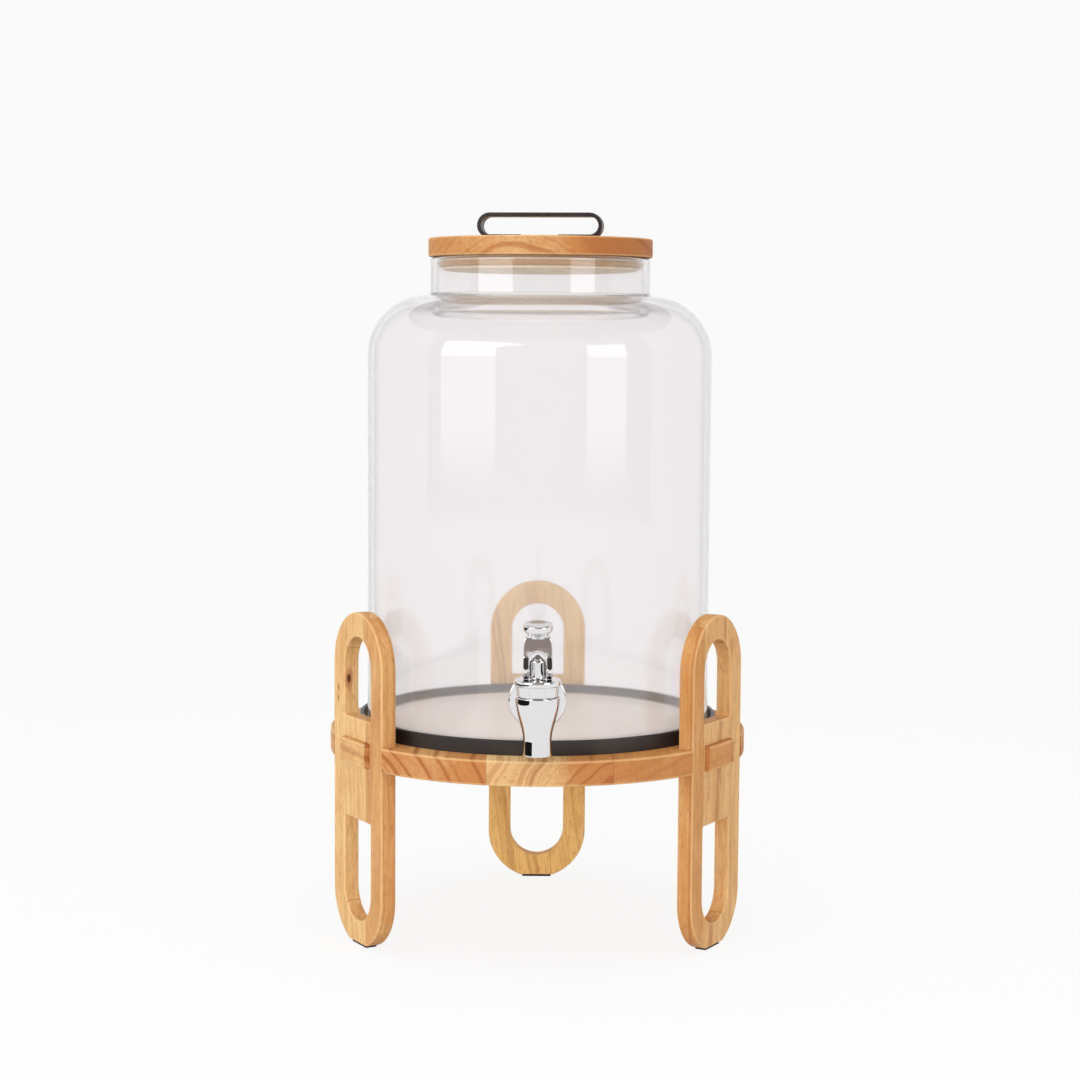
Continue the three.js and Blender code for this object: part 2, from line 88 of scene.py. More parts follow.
def makeCamera(c):
    data = bpy.data.cameras.new("camera")
    data.lens = c.lens
    data.sensor_width = c.sensor
    turn = turnBy(c.yaw) @ turnBy(90 - c.dip, "X") @ turnBy(c.roll)
    bpy.context.scene.camera = addObject("camera", data, at(c.place) @ turn)


makeCamera(camera)
bpy.context.scene.view_settings.view_transform = "Standard"
print("camera placed")


# Shader tools

class Channel:
    def __init__(self, finish, socket):
        self.finish = finish
        self.socket = socket

    def maths(self, operation, *values):
        return self.finish.node("ShaderNodeMath", {"operation": operation}, values)

    def __add__(self, other):
        return self.maths("ADD", self, other)

    def __sub__(self, other):
        return self.maths("SUBTRACT", self, other)

    def __rsub__(self, other):
        return self.maths("SUBTRACT", other, self)

    def __mul__(self, other):
        return self.maths("MULTIPLY", self, other)

    def __pow__(self, other):
        return self.maths("POWER", self, other)

    def __gt__(self, other):
        return self.maths("GREATER_THAN", self, other)

    def __abs__(self):
        return self.maths("ABSOLUTE", self)

    __radd__ = __add__
    __rmul__ = __mul__


class Finish:
    def __init__(self, name, constants, world=None):
        self.material = world or bpy.data.materials.new(name)
        self.material.use_nodes = True
        self.tree = self.material.node_tree
        self.shader = self.tree.nodes["Background" if world else "Principled BSDF"]
        for socket, value in constants.items():
            self.shader.inputs[socket].default_value = value

    def node(self, kind, settings=None, sockets=(), output=0):
        made = self.tree.nodes.new(kind)
        for name, value in (settings or {}).items():
            setattr(made, name, value)
        pairs = sockets.items() if isinstance(sockets, dict) else enumerate(sockets)
        for key, value in pairs:
            if isinstance(value, Channel):
                self.tree.links.new(value.socket, made.inputs[key])
            else:
                made.inputs[key].default_value = value
        return Channel(self, made.outputs[output])

    def feed(self, sockets):
        for name, value in sockets.items():
            self.tree.links.new(value.socket, self.shader.inputs[name])

    def surface(self, colour, roughness, height, depth, strength):
        normal = self.bump(height, depth, strength)
        self.feed({"Base Color": colour, "Roughness": roughness, "Normal": normal})
        return self.material

    def show(self, shader):
        self.tree.links.new(shader.socket, self.tree.nodes["Material Output"].inputs["Surface"])

    def own(self, output="Object"):
        return self.node("ShaderNodeTexCoord", output=output)

    def split(self, vector):
        return [self.node("ShaderNodeSeparateXYZ", sockets=(vector,), output=i) for i in range(3)]

    def stretch(self, vector, amounts):
        return self.node("ShaderNodeVectorMath", {"operation": "MULTIPLY"}, (vector, amounts))

    def cloud(self, vector, scale, detail=2.0, roughness=0.5):
        return self.node("ShaderNodeTexNoise", sockets={
            "Vector": vector, "Scale": scale, "Detail": detail, "Roughness": roughness,
        })

    def bands(self, distance, scale, detail=2.0, roughness=0.6):
        return self.node("ShaderNodeTexNoise", {"noise_dimensions": "1D"}, {
            "W": distance, "Scale": scale, "Detail": detail, "Roughness": roughness,
        })

    def fade(self, value, low, high, start=0.0, end=1.0):
        return self.node("ShaderNodeMapRange", {"interpolation_type": "SMOOTHSTEP"}, {
            "Value": value, "From Min": low, "From Max": high, "To Min": start, "To Max": end,
        })

    def blend(self, amount, first, second):
        colours = [c if isinstance(c, Channel) else (*c, 1) for c in (first, second)]
        return self.node("ShaderNodeMix", {"data_type": "RGBA"}, {0: amount, 6: colours[0], 7: colours[1]}, 2)

    def bump(self, height, distance, strength):
        return self.node("ShaderNodeBump", sockets={
            "Height": height, "Distance": distance, "Strength": strength,
        })


def tint(*parts):  # a screen colour of 0 to 255, as light
    return tuple(((v / 255 + 0.055) / 1.055) ** 2.4 for v in parts)


# Wood: growth rings round a pith line that each glued strip has to itself

wood = {
    "pale": tint(250, 213, 150), "deep": tint(208, 142, 76), "streak": tint(166, 88, 40),
    "fleck": tint(172, 98, 46), "fibre": tint(196, 132, 74), "pore": tint(116, 66, 32),
    # the last colour in the next row is a painted highlight for the rounded edges
    "end": tint(196, 126, 66), "joint": tint(96, 58, 32), "edgeSheen": tint(246, 208, 150),
    "knot": tint(96, 50, 26),
    "wobble": 5 * mm,
    "rings": 150,  # bands in a metre from the pith
    "jointWidth": 0.22 * mm,
}
boardWood = {**wood, "end": tint(170, 96, 50)}  # darker where board and lid are cut across
# A paler copy of the wood for the lid's plug: painted light where the plug sits in shade under the lid,
# inside the neck.
litPlugWood = {**wood, "pale": tint(255, 240, 206), "deep": tint(250, 214, 160), "end": tint(255, 228, 184)}
# A paler copy of the wood for the back leg: painted light, making up for the light that the leg misses behind
# the jar and under the board.
litBackWood = {
    **wood, "pale": tint(255, 212, 134), "fibre": tint(214, 152, 82), "fleck": tint(196, 130, 62),
    "end": tint(214, 150, 78),
}


# Strips lie side by side across the grain. A row holds, in millimetres, the strip's far edge and the place of
# its pith across and inwards, then the pith's lean, the tone from pale to deep, the late wood's red, a seed.
def stripsOf(*rows):
    names = ("to", "pithAcross", "pithInwards", "lean", "tone", "red", "seed")
    return [dict(zip(names, [v * mm for v in row[:3]] + list(row[3:]))) for row in rows]


# Knots are (across, through, along, radius). Shades are (from, to, amount), where the tone drifts across the
# grain. Both are in millimetres.
def woodFinish(name, look, strips, seed, alongZ=False, knots=(), shades=()):
    f = Finish(name, {"IOR": 1.46, "Specular IOR Level": 0.35})
    own = f.own()
    x, y, z = f.split(own)
    normal = f.split(f.own("Normal"))
    across, through, lengthwise = (x, y, z) if alongZ else (x, z, y)

    def drawn(share):  # space pressed together along the grain, so that what is drawn in it runs long
        return f.stretch(own, (1, 1, share) if alongZ else (1, share, 1))

    def perStrip(key):
        values = [strip[key] for strip in strips]
        value = values[0]
        for strip, before, after in zip(strips, values, values[1:]):
            if after != before:
                value = (across > strip["to"]) * (after - before) + value
        return value

    flow = drawn(0.1)
    shift = f.cloud(flow, 26 + seed, 2) - 0.5
    drift = f.cloud(flow, 41 - seed, 2) - 0.5
    wobble = 2 * look["wobble"]
    sideways = across - perStrip("pithAcross") - lengthwise * perStrip("lean") + shift * wobble
    inward = through - perStrip("pithInwards") + drift * wobble
    distance = (sideways ** 2 + inward ** 2) ** 0.5
    growth = f.bands(distance + perStrip("seed"), look["rings"], 3, 0.62)
    late = f.fade(growth, 0.48, 0.66) * perStrip("red")
    fine = f.bands(distance + seed, look["rings"] * 5, 2)
    figure = f.cloud(flow, 380 + seed, 3, 0.65)
    fleck = f.fade(f.cloud(drawn(0.32), 470 - seed, 2, 0.6), 0.54, 0.7)
    fibre = f.cloud(drawn(0.03), 1300, 3, 0.6)
    pores = f.fade(f.cloud(drawn(0.08), 1900, 1), 0.64, 0.73)
    mottle = f.cloud(drawn(0.4), 34 + seed, 3, 0.55)
    tone = mottle * 0.6 + figure * 0.5 + perStrip("tone") - 0.15
    for start, end, amount in shades:
        tone = f.fade(across, start * mm, end * mm, 0, amount) + tone
    cut = f.fade(abs(normal[2 if alongZ else 1]), 0.45, 0.95)  # 1 where the surface cuts across the fibres

    # painted highlight: the rounded edges marked in the mesh are mixed towards a paler colour
    edge = f.node("ShaderNodeAttribute", {"attribute_name": "edgeSheen"}, output=2)
    colour = f.blend(f.fade(tone, 0.1, 0.9), look["pale"], look["deep"])
    for layer, mask in (
        ("streak", f.fade(tone, 0.9, 1.7) * 0.6), ("streak", late * 0.8),
        ("fibre", f.fade(fine, 0.5, 0.72) * 0.25), ("fibre", f.fade(fibre, 0.42, 0.7) * 0.32),
        ("fleck", fleck * 0.3), ("end", cut * 0.34), ("pore", pores * 0.42), ("edgeSheen", edge * 0.35),
    ):
        colour = f.blend(mask, colour, look[layer])
    height = fibre * 0.5 - pores * 0.9 - late * 0.25
    for knot in knots:
        *place, radius = [v * mm for v in knot]
        away = [a - b for a, b in zip((across, through, lengthwise), place)]
        reach = (away[0] ** 2 + away[1] ** 2 + (away[2] * 0.45) ** 2) ** 0.5 + shift * radius
        core = f.fade(reach, radius, radius * 0.4)
        colour = f.blend(f.fade(reach, radius * 2.4, radius) * 0.5, colour, look["streak"])
        colour = f.blend(core, colour, look["knot"])
        height = height - core * 0.8
    for strip in strips[:-1]:
        joint = f.fade(abs(across - strip["to"]), look["jointWidth"], 0)
        colour = f.blend(joint * 0.55, colour, look["joint"])
        height = height - joint
    return f.surface(colour, f.fade(fibre + late * 0.3, 0.2, 1.0, 0.5, 0.68), height, 0.12 * mm, 0.6)


# Other finishes

glassLook = Values({
    "colour": (0.963, 0.943, 0.947, 1),
    "clearShare": 0.94,  # the rest is a faint milky film on every face
    "shade": (0.99, 0.99, 0.985, 1),  # what of the light a wall lets through into the shade
    "wall": 0.05, "bottom": 0.07,  # roughness of the wall and of the unevenly pressed bottom
    "pressed": (6 * mm, 20 * mm),  # heights between which the pressed glass ends
    "rimClear": 0.55,
    "milk": (0.98, 0.92, 0.86, 1), "milkShare": 0.75,  # of the pressed floor
    "floor": (3.7 * mm, 4.6 * mm),  # heights between which the floor ends
})


def glassFinish(v):
    f = Finish("clearGlass", {"Base Color": v.colour, "Transmission Weight": v.clearShare, "IOR": 1.5})
    own = f.own()
    z = f.split(own)[2]
    nz = f.split(f.own("Normal"))[2]
    pressed = f.fade(z, v.pressed[1], v.pressed[0])
    wave = f.cloud(f.stretch(own, (1, 1, 0.35)), 16, 1)
    wave = wave + f.cloud(f.stretch(own, (1, 1, 2.2)), 70, 2) * pressed * 0.5
    seed = f.cloud(own, 420, 0)
    haze = f.fade(f.cloud(own, 60, 3), 0.3, 0.8, 0.8, 1.25)
    f.feed({
        "Roughness": (pressed * (v.bottom - v.wall) + v.wall) * haze,
        "Normal": f.bump(wave + f.fade(seed, 0.82, 0.9) * 0.02, 1.2 * mm, 0.12),
    })
    clear = f.node("ShaderNodeBsdfTransparent", sockets=(v.shade,))
    shadow = f.node("ShaderNodeLightPath", output="Is Shadow Ray")
    # Towards its outline the wall is seen edge on. Partly clear there, it keeps its edge line thin.
    rim = f.fade(f.node("ShaderNodeLayerWeight", sockets=(0.5,), output=1), 0.72, 0.98, 0, v.rimClear)
    milk = f.node("ShaderNodeBsdfDiffuse", sockets=(v.milk,))
    floor = f.fade(z, v.floor[1], v.floor[0], 0, v.milkShare) * f.fade(abs(nz), 0.9, 0.99)
    clouded = f.node("ShaderNodeMixShader", sockets=(floor, Channel(f, f.shader.outputs[0]), milk))
    factor = f.node("ShaderNodeMath", {"operation": "MAXIMUM"}, (shadow, rim * (1 - pressed)))
    f.show(f.node("ShaderNodeMixShader", sockets=(factor, clouded, clear)))
    return f.material


def chromeFinish(name, colour, roughness):
    f = Finish(name, {"Metallic": 1})
    own = f.own()
    smear = f.cloud(own, 130, 4, 0.6)
    grain = f.cloud(own, 2600, 2)
    colour = f.blend(smear, colour, tuple(v * 0.94 for v in colour))
    roughness = f.fade(smear, 0.3, 0.75, roughness * 0.7, roughness * 1.5)
    return f.surface(colour, roughness, f.cloud(own, 190, 1) + grain * 0.1, 0.1 * mm, 0.2)


def steelFinish(name, colour, roughness):
    f = Finish(name, {"Metallic": 1})
    own = f.own()
    rub = f.cloud(f.stretch(own, (1, 1, 0.08)), 1900, 3, 0.65)
    colour = f.blend(rub, colour, tuple(v * 0.82 for v in colour))
    return f.surface(colour, f.fade(rub, 0.25, 0.8, roughness * 0.8, roughness * 1.4), rub, 0.04 * mm, 0.4)


def blackSteelFinish():
    f = Finish("blackSteel", {"IOR": 1.5, "Coat Roughness": 0.3})
    own = f.own()
    peel = f.cloud(own, 900, 2)
    fleck = f.cloud(own, 3800, 1)
    dust = f.cloud(own, 45, 4, 0.6)
    colour = f.blend(f.fade(dust, 0.35, 0.75), tint(34, 31, 30), tint(50, 46, 44))
    return f.surface(colour, f.fade(peel, 0.3, 0.7, 0.36, 0.48), peel + fleck * 0.35, 0.05 * mm, 0.5)


def siliconeFinish(name, pale, deep):
    f = Finish(name, {
        "IOR": 1.41, "Subsurface Weight": 0.35, "Subsurface Scale": 1,
        "Subsurface Radius": (2 * mm, 1.8 * mm, 1.5 * mm),
    })
    own = f.own()
    haze = f.cloud(own, 150, 3)
    matte = f.cloud(own, 2400, 2)
    return f.surface(f.blend(haze, pale, deep), f.fade(matte, 0.3, 0.7, 0.42, 0.6), matte, 0.03 * mm, 0.4)


def rubberFinish():
    f = Finish("blackRubber", {"IOR": 1.5})
    own = f.own()
    skin = f.cloud(own, 1800, 3)
    scuff = f.cloud(own, 90, 4, 0.65)
    colour = f.blend(f.fade(scuff, 0.45, 0.75), tint(34, 31, 30), tint(60, 56, 52))
    return f.surface(colour, f.fade(skin, 0.3, 0.7, 0.68, 0.86), skin, 0.08 * mm, 0.6)


clearGlass = glassFinish(glassLook)
chrome = chromeFinish("polishedChrome", (0.8, 0.795, 0.8), 0.035)
nutSteel = steelFinish("nutSteel", (0.66, 0.66, 0.67), 0.22)
blackSteel = blackSteelFinish()
milkySilicone = siliconeFinish("milkySilicone", tint(236, 229, 216), tint(214, 204, 188))
tanSilicone = siliconeFinish("tanSilicone", tint(216, 164, 88), tint(192, 138, 64))  # wood shows through
blackRubber = rubberFinish()
print("finishes made")


# Mesh tools

def arcOf(x, y, radius, start, end, steps):
    angles = [radians(start + (end - start) * i / steps) for i in range(steps + 1)]
    return [(x + radius * cos(a), y + radius * sin(a)) for a in angles]


# Rounds the corners of an outline, whose points are (x, y) or, with a rounding in millimetres, (x, y, ease).
def eased(corners, steps=4):
    made = []
    for i, corner in enumerate(corners):
        if len(corner) == 2:
            made.append(corner)
            continue
        here = Vector(corner[:2])
        sides = [Vector(other[:2]) - here for other in (corners[i - 1], corners[(i + 1) % len(corners)])]
        start, end = [here + side.normalized() * (corner[2] * mm) for side in sides]
        for t in [step / steps for step in range(steps + 1)]:
            made.append(tuple(start.lerp(here, t).lerp(here.lerp(end, t), t)))
    return made


def finishMesh(shape, sharpAngle=32):
    bmesh.ops.remove_doubles(shape, verts=shape.verts, dist=0.2e-6)
    bmesh.ops.recalc_face_normals(shape, faces=shape.faces)
    limit = radians(sharpAngle)
    for face in shape.faces:
        face.smooth = True
    for edge in shape.edges:
        edge.smooth = len(edge.link_faces) == 2 and edge.calc_face_angle(0) < limit


def objectOf(name, shape, place=Matrix(), sharpAngle=32):
    finishMesh(shape, sharpAngle)
    mesh = bpy.data.meshes.new(name)
    shape.to_mesh(mesh)
    shape.free()
    return addObject(name, mesh, place)


# A profile of (radius, height) points turned about the Z axis.
def turned(profile, sides, closed=False, wobble=None):
    shape = bmesh.new()
    rings = []
    angles = [2 * pi * i / sides for i in range(sides)]
    for radius, height in profile:
        ring = []
        for angle in angles if radius else (0,):
            r, z = wobble(radius, height, angle) if wobble else (radius, height)
            ring.append(shape.verts.new((r * cos(angle), r * sin(angle), z)))
        rings.append(ring)
    pairs = list(zip(rings, rings[1:]))
    if closed:
        pairs.append((rings[-1], rings[0]))
    for lower, upper in pairs:
        for i in range(sides):
            j = (i + 1) % sides
            around = ((lower, i), (lower, j), (upper, j), (upper, i))
            corners = dict.fromkeys(ring[k % len(ring)] for ring, k in around)  # each once, at a pole too
            if len(corners) > 2:
                shape.faces.new(list(corners))
    return shape


def meshOf(piece):  # as its modifiers leave it
    bpy.context.view_layer.update()
    return bpy.data.meshes.new_from_object(piece.evaluated_get(bpy.context.evaluated_depsgraph_get()))


def applyModifiers(piece):
    mesh = meshOf(piece)
    piece.modifiers.clear()
    old, piece.data = piece.data, mesh
    mesh.name = piece.name
    bpy.data.meshes.remove(old)


# Rings with the same number of points each, joined and closed at both ends.
def tube(rings):
    shape = bmesh.new()
    rings = [[shape.verts.new(point) for point in ring] for ring in rings]
    for first, second in zip(rings, rings[1:]):
        for k in range(len(first)):
            j = (k + 1) % len(first)
            shape.faces.new((first[k], first[j], second[j], second[k]))
    shape.faces.new(rings[0])
    shape.faces.new(rings[-1])
    return shape


# Flat outlines, the first around the others, as a plate with rounded edges and its middle at z = 0.
def plate(loops, thickness, ease, steps=3):
    curve = bpy.data.curves.new("outline", "CURVE")
    curve.dimensions = "2D"
    curve.fill_mode = "BOTH"
    curve.extrude = thickness / 2 - ease * mm
    curve.bevel_depth = ease * mm
    curve.bevel_resolution = steps
    curve.offset = -ease * mm
    for loop in loops:
        spline = curve.splines.new("POLY")
        spline.points.add(len(loop) - 1)
        for point, (x, y) in zip(spline.points, loop):
            point.co = (x, y, 0, 1)
        spline.use_cyclic_u = True
    holder = addObject("outline", curve)
    mesh = meshOf(holder)
    shape = bmesh.new()
    shape.from_mesh(mesh)
    bmesh.ops.remove_doubles(shape, verts=shape.verts, dist=2e-6)
    bpy.data.objects.remove(holder)
    bpy.data.curves.remove(curve)
    bpy.data.meshes.remove(mesh)
    return shape


# Cuts, joins or intersects a piece with a shape that is given in the piece's own space.
def carve(piece, shape, operation="DIFFERENCE", sharpAngle=32):
    tool = objectOf("tool", shape, piece.matrix_world.copy())
    change = piece.modifiers.new("carve", "BOOLEAN")
    change.operation = operation
    change.solver = "EXACT"
    change.object = tool
    applyModifiers(piece)
    bpy.data.objects.remove(tool)
    made = bmesh.new()
    made.from_mesh(piece.data)
    bmesh.ops.dissolve_degenerate(made, edges=made.edges, dist=0.5e-6)
    finishMesh(made, sharpAngle)
    made.to_mesh(piece.data)
    made.free()


def turnTo(shape, angle, axis):
    bmesh.ops.rotate(shape, verts=shape.verts, matrix=Matrix.Rotation(radians(angle), 3, axis))
    return shape


def moveTo(shape, x, y, z):
    bmesh.ops.translate(shape, verts=shape.verts, vec=(x, y, z))
    return shape


# A turned shape laid down, so that its heights run towards -Y.
def laid(profile, sides, closed=False):
    return turnTo(turned(profile, sides, closed), 90, "X")


def rod(radius, bottom, top, sides):
    return turned([(0, bottom), (radius, bottom), (radius, top), (0, top)], sides)


def block(low, high):
    shape = bmesh.new()
    bmesh.ops.create_cube(shape, size=1)
    bmesh.ops.scale(shape, verts=shape.verts, vec=[b - a for a, b in zip(low, high)])
    return moveTo(shape, *[(a + b) / 2 for a, b in zip(low, high)])


def dress(piece, material, body, node, flats=True):
    if flats:  # the large faces rule the shading, so that flats between rounded edges reflect as flats
        change = piece.modifiers.new("flatten", "WEIGHTED_NORMAL")
        change.keep_sharp = True
        change.weight = 60
        applyModifiers(piece)
    piece.data.materials.clear()
    piece.data.materials.append(material)
    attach(piece, body)
    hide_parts(node)


# Marks the rounded edges of a wooden piece that is flat across the given axis, where the wood is painted
# paler as a highlight.
def markEdgeSheen(piece, axis):
    shape = bmesh.new()
    shape.from_mesh(piece.data)
    layer = shape.verts.layers.float.new("edgeSheen")
    for vert in shape.verts:
        if all(0.08 < abs(face.normal[axis]) < 0.985 for face in vert.link_faces):
            vert[layer] = 1
    shape.to_mesh(piece.data)
    shape.free()


jarLow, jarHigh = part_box("glass_jar")
onAxis = at((0, (jarLow[1] + jarHigh[1]) / 2, 0))
print("places taken from the frame")


# Stand

leg = inMetres({
    "inner": 109.1, "outer": 118.5,  # from the jar's axis
    "bottom": 1.3, "top": 192, "half": 31,
    "footFlat": 20.8, "footRim": 13.2, "slotHalf": 17,
    "panel": (73, 131.5),  # heights between which the leg has no slot
    "mortise": (16.3, 104.7, 119.3),
}, ease=1.1, turns={"front_left": -60, "front_right": 60, "back": 180})

# For each leg: its wood, its glued strips from left to right, and its knots.
legWood = {
    "front_left": (wood, stripsOf(
        (-14.4, -30, 60, 0.03, 0.02, 0.4, 0.1),
        (11.3, 60, 30, -0.05, -0.04, 0.4, 0.7),
        (1000, 10, 95, 0.02, 0.2, 0.6, 1.9),
    ), [(-17, -115.5, 152, 1.5), (-24.4, -118.5, 146, 0.7), (-24.8, -118.5, 140, 0.7)]),
    "front_right": (wood, stripsOf(
        (-17.6, -40, -70, 0.04, 0.3, 0.9, 2.3),
        (10, -70, -40, 0.06, 0.08, 0.6, 3.1),
        (1000, 50, -180, -0.04, 0.1, 0.5, 4.2),
    ), []),
    # the back leg's paler wood and pale tones are painted light
    "back": (litBackWood, stripsOf(
        (-9, 40, -60, 0.12, -0.35, 0.3, 5.3),
        (1000, -50, -20, 0.16, -0.3, 0.5, 6.1),
    ), []),
}


def legOutline(v):
    footAngle = degrees(asin(v.footFlat / 2 / v.half))
    footMiddle = v.bottom + v.half * cos(radians(footAngle))
    topMiddle = v.top - v.half
    outline = arcOf(0, footMiddle, v.half, footAngle - 90, 0, 20)
    outline += arcOf(0, topMiddle, v.half, 0, 180, 40)
    outline += arcOf(0, footMiddle, v.half, 180, 270 - footAngle, 20)

    def slot(side, flat, middle, start):
        corners = [(-side, flat, 1.2), (side, flat, 1.2)]
        return eased(corners + arcOf(0, middle, v.slotHalf, start, start + 180, 36))

    lowMiddle = v.bottom + v.footRim + v.slotHalf
    low, high = v.panel
    return [outline, slot(v.slotHalf, high, topMiddle, 0), slot(-v.slotHalf, low, lowMiddle, 180)]


def makeLeg(place, v):
    shape = turnTo(plate(legOutline(v), v.outer - v.inner, v.ease), 90, "X")
    moveTo(shape, 0, -(v.inner + v.outer) / 2, 0)
    made = objectOf("leg_" + place + "_wood", shape, onAxis @ turnBy(v.turns[place]))
    half, low, high = v.mortise
    carve(made, block((-half, -v.outer - 5 * mm, low), (half, 5 * mm - v.inner, high)))
    markEdgeSheen(made, 1)
    look, strips, knots = legWood[place]
    name = "oiledLeg" + place.title().replace("_", "")
    finish = woodFinish(name, look, strips, 1.7 * len(place), True, knots)
    dress(made, finish, "stand", "leg_" + place)


def makeFootPad(place, v):
    inset = 1.2 * mm
    half = v.footFlat / 2 - inset
    near, far = v.inner + inset, v.outer - inset
    outline = eased([(-half, -far, 1), (half, -far, 1), (half, -near, 1), (-half, -near, 1)])
    shape = moveTo(plate([outline], 1 * mm, 0.2), 0, 0, 0.5 * mm)
    made = objectOf("pad_" + place, shape, onAxis @ turnBy(v.turns[place]))
    dress(made, blackRubber, "stand", "foot_pad_" + place)


board = inMetres({
    "radius": 122.49, "top": 119, "thickness": 14,
    "groove": (102.5, 105.3, 2),  # from and to, and its depth
    "tongue": 16, "notch": 31.3,  # half widths
    "notchDepth": 108.8,
}, ease=1.4)

boardStrips = stripsOf(
    (-97.4, -120, 60, 0, 0.1, 0.5, 0.4),
    (-27.8, -110, 70, 0.05, 0.24, 1.1, 1.2),
    (41.8, 60, 70, -0.03, -0.25, 0.95, 2.6),
    (111.4, 150, -140, 0.02, 0.4, 0.35, 3.3),
    (1000, 160, -20, 0, 0.5, 0.5, 4.8),
)
boardShades = [(-60, -34, 0.25), (-27.8, -27.7, -0.25), (2, 30, 0.85), (41.8, 41.9, -0.85)]


def makeBoard(v, turns):
    top, bottom = v.top, v.top - v.thickness
    near, far, depth = v.groove
    profile = eased([
        (0, bottom), (v.radius, bottom, v.ease), (v.radius, top, v.ease), (far, top, 0.3),
        (far, top - depth), (near, top - depth), (near, top, 0.3), (0, top),
    ], 6)
    made = objectOf("stand_board_wood", turned(profile, 240), onAxis)
    for turn in turns.values():
        for side in (-1, 1):
            left, right = sorted((side * v.tongue, side * v.notch))
            low = (left, -v.radius - 4 * mm, bottom - 4 * mm)
            carve(made, turnTo(block(low, (right, -v.notchDepth, top + 4 * mm)), turn, "Z"))
    markEdgeSheen(made, 2)
    finish = woodFinish("oiledBoard", boardWood, boardStrips, 3.1, shades=boardShades)
    dress(made, finish, "stand", "stand_board")


ring = inMetres({"inner": 102.8, "outer": 105, "bottom": 117.3, "top": 127.3}, ease=0.7)


def makeRing(v):
    low, high = (v.bottom, 0.2), (v.top, v.ease)
    profile = eased([(v.inner, *low), (v.outer, *low), (v.outer, *high), (v.inner, *high)], 6)
    made = objectOf("ring_steel", turned(profile, 256, closed=True), onAxis)
    dress(made, blackSteel, "stand", "retaining_ring")


for place in leg.turns:
    makeLeg(place, leg)
    makeFootPad(place, leg)
makeBoard(board, leg.turns)
makeRing(ring)
print("stand made")


# Jar

jar = inMetres({
    "bottom": 119.3, "radius": 100.7, "height": 274.6, "wall": 3.6,
    "base": 3.4, "hollow": 0.8, "footing": 9, "heel": 5, "floorRound": 5,
    "neck": 64.2, "neckWall": 3.7, "neckHeight": 22, "fillet": 1.5,
    "lip": 2, "lipDrop": 3.4,  # the thick edge inside the neck's root
    "waves": 0.5,  # how unevenly that edge runs
    "ripple": 0.05,  # unevenness of the inner wall
    "hole": 8.3,
})


def jarProfile(v):
    rim = v.neckWall / 2
    neckInner = v.neck - v.neckWall
    shoulderTop = v.height - v.neckHeight
    filletEdge = v.neck + v.fillet
    shoulder = v.radius - filletEdge
    start = shoulderTop - shoulder
    ceiling = shoulderTop - v.wall
    lipInner, lipOuter, lipLow = neckInner - v.lip / 2, neckInner + v.lip * 1.5, ceiling - v.lipDrop - v.lip
    profile = [(0, v.hollow), (v.radius - v.heel - v.footing - 4 * mm, 0.35 * mm)]
    profile += arcOf(v.radius - v.heel, v.heel, v.heel, -90, 0, 12)
    profile += arcOf(filletEdge, start, shoulder, 0, 90, 36)
    profile += arcOf(filletEdge, shoulderTop + v.fillet, v.fillet, 270, 180, 8)[1:]
    profile += arcOf(v.neck - rim, v.height - rim, rim, 0, 180, 16)
    profile += eased([
        (neckInner, shoulderTop + 1 * mm, 0.8),
        (lipInner, ceiling - v.lipDrop + 1 * mm, 1), (lipInner, lipLow, 1.2),
        (lipOuter, lipLow, 1.2), (lipOuter, ceiling, 1.8),
        (filletEdge + 1 * mm, ceiling - 0.01 * mm, 0.5),
    ], 6)[1:-1]
    profile += arcOf(filletEdge, start, shoulder - v.wall, 84, 0, 34)
    profile += arcOf(v.radius - v.wall - v.floorRound, v.base + v.floorRound, v.floorRound, 0, -90, 12)
    return profile + [(0, v.base)]


def makeJar(v):
    rootLow = v.height - v.neckHeight - v.wall - v.lipDrop - v.lip - 1 * mm

    def uneven(radius, height, angle):
        around = Vector((cos(angle), sin(angle), height * 6))
        if radius < v.neck - v.neckWall + 5 * mm and rootLow < height < rootLow + 8 * mm:
            wave = noise.noise(around * 2.2) * v.waves
            return radius + 0.3 * wave, height + wave
        if v.neck < radius < v.radius - v.wall + 0.5 * mm and height > v.base + 8 * mm:
            radius += noise.noise(around * 1.7 + Vector((5, 3, 1))) * v.ripple
        return radius, height

    profile = jarProfile(v)
    rows = []
    for (r0, z0), (r1, z1) in zip(profile, profile[1:]):
        steps = max(1, round(hypot(r1 - r0, z1 - z0) / (12 * mm)))
        rows += [(r0 + (r1 - r0) * i / steps, z0 + (z1 - z0) * i / steps) for i in range(steps)]
    rows.append(profile[-1])
    place = onAxis @ at((0, 0, v.bottom))
    made = objectOf("jar_glass", turned(rows, 192, wobble=uneven), place, sharpAngle=50)
    hole = turnTo(rod(v.hole, 90 * mm, 110 * mm, 48), 90, "X")
    carve(made, moveTo(hole, 0, 0, tap.height - v.bottom), sharpAngle=50)
    dress(made, clearGlass, "jar", "glass_jar")


# Tap, drawn round the meeting of its shank and its valve

tap = inMetres({
    "reach": 130,  # from the jar's axis
    "height": 150, "tip": -26, "spout": 8, "bore": 5.5,
    "barrel": 12, "barrelTop": 6,
    "waist": (7.7, -18), "collar": (9.9, 11.4), "chamber": (8, -5.7),  # radius and height
    "neck": 5.8, "channel": 4.3,
    "flange": (16, 103.8, 106.8),  # radius, and from and to outwards from the jar's axis
    "shank": (8, 85.5),
    "thread": 1.5, "threadTop": 0.75,  # pitch and crest
})
onTap = onAxis @ at((0, -tap.reach, tap.height))


